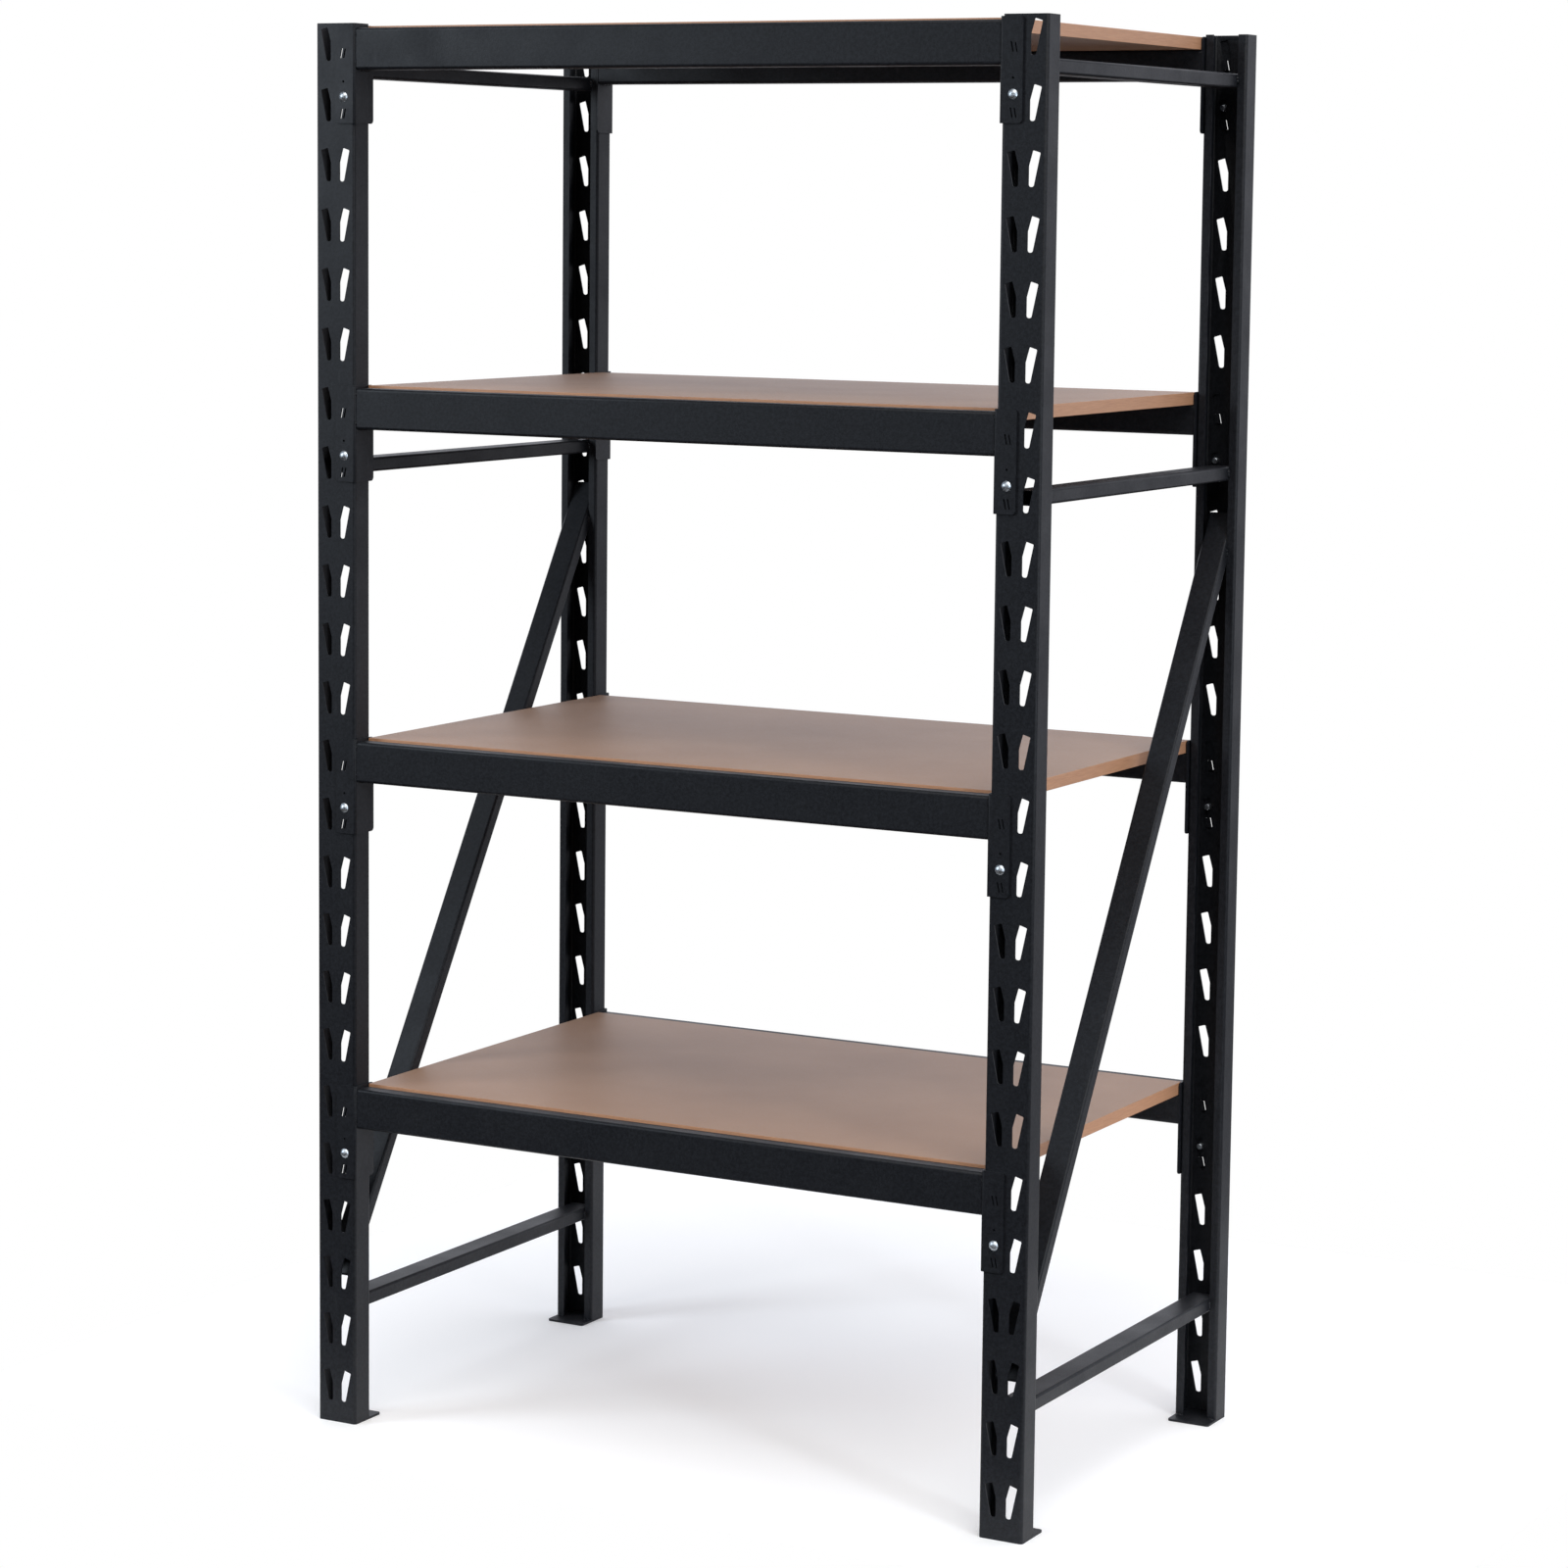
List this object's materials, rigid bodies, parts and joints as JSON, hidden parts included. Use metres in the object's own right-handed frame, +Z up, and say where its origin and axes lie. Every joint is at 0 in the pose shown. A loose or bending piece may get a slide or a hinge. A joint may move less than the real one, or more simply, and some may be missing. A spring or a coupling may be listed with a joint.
{
  "type": "boltless steel shelving",
  "caption": "Freestanding boltless rack: slotted channel uprights in welded side frames, hooked step beams held by lock pins, and loose boards on the beams.",
  "frame": {"origin": "on the floor, under the middle of the bay, halfway between the front and rear uprights", "axes": "+Z up, +X to the right along the shelves seen from the front, +Y from the front to the rear"},
  "size_m": [1.016, 0.6316, 1.8],
  "materials": {
    "black_powder_coat": "textured semi-matt powder coat",
    "mdf_board": "raw sanded fibreboard",
    "zinc_pin": "bright zinc plate"
  },
  "bodies": {
    "side_frames": {"upright_front_left": "black_powder_coat", "foot_plate_front_left": "black_powder_coat", "upright_front_right": "black_powder_coat", "foot_plate_front_right": "black_powder_coat", "upright_rear_left": "black_powder_coat", "foot_plate_rear_left": "black_powder_coat", "upright_rear_right": "black_powder_coat", "foot_plate_rear_right": "black_powder_coat", "brace_top_left": "black_powder_coat", "brace_middle_left": "black_powder_coat", "brace_bottom_left": "black_powder_coat", "brace_diagonal_left": "black_powder_coat", "brace_top_right": "black_powder_coat", "brace_middle_right": "black_powder_coat", "brace_bottom_right": "black_powder_coat", "brace_diagonal_right": "black_powder_coat"},
    "front_beam_unit_1": {"beam_front_1": "black_powder_coat", "connector_front_left_1": "black_powder_coat", "connector_front_right_1": "black_powder_coat"},
    "rear_beam_unit_1": {"beam_rear_1": "black_powder_coat", "connector_rear_left_1": "black_powder_coat", "connector_rear_right_1": "black_powder_coat"},
    "board_unit_1": {"board_1": "mdf_board"},
    "pin_front_left_1": {"lock_pin_front_left_1": "zinc_pin"},
    "pin_front_right_1": {"lock_pin_front_right_1": "zinc_pin"},
    "pin_rear_left_1": {"lock_pin_rear_left_1": "zinc_pin"},
    "pin_rear_right_1": {"lock_pin_rear_right_1": "zinc_pin"},
    "front_beam_unit_2": {"beam_front_2": "black_powder_coat", "connector_front_left_2": "black_powder_coat", "connector_front_right_2": "black_powder_coat"},
    "rear_beam_unit_2": {"beam_rear_2": "black_powder_coat", "connector_rear_left_2": "black_powder_coat", "connector_rear_right_2": "black_powder_coat"},
    "board_unit_2": {"board_2": "mdf_board"},
    "pin_front_left_2": {"lock_pin_front_left_2": "zinc_pin"},
    "pin_front_right_2": {"lock_pin_front_right_2": "zinc_pin"},
    "pin_rear_left_2": {"lock_pin_rear_left_2": "zinc_pin"},
    "pin_rear_right_2": {"lock_pin_rear_right_2": "zinc_pin"},
    "front_beam_unit_3": {"beam_front_3": "black_powder_coat", "connector_front_left_3": "black_powder_coat", "connector_front_right_3": "black_powder_coat"},
    "rear_beam_unit_3": {"beam_rear_3": "black_powder_coat", "connector_rear_left_3": "black_powder_coat", "connector_rear_right_3": "black_powder_coat"},
    "board_unit_3": {"board_3": "mdf_board"},
    "pin_front_left_3": {"lock_pin_front_left_3": "zinc_pin"},
    "pin_front_right_3": {"lock_pin_front_right_3": "zinc_pin"},
    "pin_rear_left_3": {"lock_pin_rear_left_3": "zinc_pin"},
    "pin_rear_right_3": {"lock_pin_rear_right_3": "zinc_pin"},
    "front_beam_unit_4": {"beam_front_4": "black_powder_coat", "connector_front_left_4": "black_powder_coat", "connector_front_right_4": "black_powder_coat"},
    "rear_beam_unit_4": {"beam_rear_4": "black_powder_coat", "connector_rear_left_4": "black_powder_coat", "connector_rear_right_4": "black_powder_coat"},
    "board_unit_4": {"board_4": "mdf_board"},
    "pin_front_left_4": {"lock_pin_front_left_4": "zinc_pin"},
    "pin_front_right_4": {"lock_pin_front_right_4": "zinc_pin"},
    "pin_rear_left_4": {"lock_pin_rear_left_4": "zinc_pin"},
    "pin_rear_right_4": {"lock_pin_rear_right_4": "zinc_pin"}
  },
  "joints": [
    {"name": "front_beam_1_lift", "type": "slide", "parent": "side_frames", "child": "front_beam_unit_1", "axis": [0, 0, 1], "range_m": [0, 0.005]},
    {"name": "rear_beam_1_lift", "type": "slide", "parent": "side_frames", "child": "rear_beam_unit_1", "axis": [0, 0, 1], "range_m": [0, 0.005]},
    {"name": "board_1_lift_off", "type": "slide", "parent": "front_beam_unit_1", "child": "board_unit_1", "axis": [0, 0, 1], "range_m": [0, 0.1]},
    {"name": "pin_front_left_1_pull", "type": "slide", "parent": "front_beam_unit_1", "child": "pin_front_left_1", "axis": [0, -1, 0], "range_m": [0, 0.02]},
    {"name": "pin_front_right_1_pull", "type": "slide", "parent": "front_beam_unit_1", "child": "pin_front_right_1", "axis": [0, -1, 0], "range_m": [0, 0.02]},
    {"name": "pin_rear_left_1_pull", "type": "slide", "parent": "rear_beam_unit_1", "child": "pin_rear_left_1", "axis": [0, 1, 0], "range_m": [0, 0.02]},
    {"name": "pin_rear_right_1_pull", "type": "slide", "parent": "rear_beam_unit_1", "child": "pin_rear_right_1", "axis": [0, 1, 0], "range_m": [0, 0.02]},
    {"name": "front_beam_2_lift", "type": "slide", "parent": "side_frames", "child": "front_beam_unit_2", "axis": [0, 0, 1], "range_m": [0, 0.005]},
    {"name": "rear_beam_2_lift", "type": "slide", "parent": "side_frames", "child": "rear_beam_unit_2", "axis": [0, 0, 1], "range_m": [0, 0.005]},
    {"name": "board_2_lift_off", "type": "slide", "parent": "front_beam_unit_2", "child": "board_unit_2", "axis": [0, 0, 1], "range_m": [0, 0.1]},
    {"name": "pin_front_left_2_pull", "type": "slide", "parent": "front_beam_unit_2", "child": "pin_front_left_2", "axis": [0, -1, 0], "range_m": [0, 0.02]},
    {"name": "pin_front_right_2_pull", "type": "slide", "parent": "front_beam_unit_2", "child": "pin_front_right_2", "axis": [0, -1, 0], "range_m": [0, 0.02]},
    {"name": "pin_rear_left_2_pull", "type": "slide", "parent": "rear_beam_unit_2", "child": "pin_rear_left_2", "axis": [0, 1, 0], "range_m": [0, 0.02]},
    {"name": "pin_rear_right_2_pull", "type": "slide", "parent": "rear_beam_unit_2", "child": "pin_rear_right_2", "axis": [0, 1, 0], "range_m": [0, 0.02]},
    {"name": "front_beam_3_lift", "type": "slide", "parent": "side_frames", "child": "front_beam_unit_3", "axis": [0, 0, 1], "range_m": [0, 0.005]},
    {"name": "rear_beam_3_lift", "type": "slide", "parent": "side_frames", "child": "rear_beam_unit_3", "axis": [0, 0, 1], "range_m": [0, 0.005]},
    {"name": "board_3_lift_off", "type": "slide", "parent": "front_beam_unit_3", "child": "board_unit_3", "axis": [0, 0, 1], "range_m": [0, 0.1]},
    {"name": "pin_front_left_3_pull", "type": "slide", "parent": "front_beam_unit_3", "child": "pin_front_left_3", "axis": [0, -1, 0], "range_m": [0, 0.02]},
    {"name": "pin_front_right_3_pull", "type": "slide", "parent": "front_beam_unit_3", "child": "pin_front_right_3", "axis": [0, -1, 0], "range_m": [0, 0.02]},
    {"name": "pin_rear_left_3_pull", "type": "slide", "parent": "rear_beam_unit_3", "child": "pin_rear_left_3", "axis": [0, 1, 0], "range_m": [0, 0.02]},
    {"name": "pin_rear_right_3_pull", "type": "slide", "parent": "rear_beam_unit_3", "child": "pin_rear_right_3", "axis": [0, 1, 0], "range_m": [0, 0.02]},
    {"name": "front_beam_4_lift", "type": "slide", "parent": "side_frames", "child": "front_beam_unit_4", "axis": [0, 0, 1], "range_m": [0, 0.005]},
    {"name": "rear_beam_4_lift", "type": "slide", "parent": "side_frames", "child": "rear_beam_unit_4", "axis": [0, 0, 1], "range_m": [0, 0.005]},
    {"name": "board_4_lift_off", "type": "slide", "parent": "front_beam_unit_4", "child": "board_unit_4", "axis": [0, 0, 1], "range_m": [0, 0.1]},
    {"name": "pin_front_left_4_pull", "type": "slide", "parent": "front_beam_unit_4", "child": "pin_front_left_4", "axis": [0, -1, 0], "range_m": [0, 0.02]},
    {"name": "pin_front_right_4_pull", "type": "slide", "parent": "front_beam_unit_4", "child": "pin_front_right_4", "axis": [0, -1, 0], "range_m": [0, 0.02]},
    {"name": "pin_rear_left_4_pull", "type": "slide", "parent": "rear_beam_unit_4", "child": "pin_rear_left_4", "axis": [0, 1, 0], "range_m": [0, 0.02]},
    {"name": "pin_rear_right_4_pull", "type": "slide", "parent": "rear_beam_unit_4", "child": "pin_rear_right_4", "axis": [0, 1, 0], "range_m": [0, 0.02]}
  ],
  "couplings": [
    {"joint": "rear_beam_1_lift", "follows": "front_beam_1_lift", "ratio": 1},
    {"joint": "rear_beam_2_lift", "follows": "front_beam_2_lift", "ratio": 1},
    {"joint": "rear_beam_3_lift", "follows": "front_beam_3_lift", "ratio": 1},
    {"joint": "rear_beam_4_lift", "follows": "front_beam_4_lift", "ratio": 1}
  ]
}
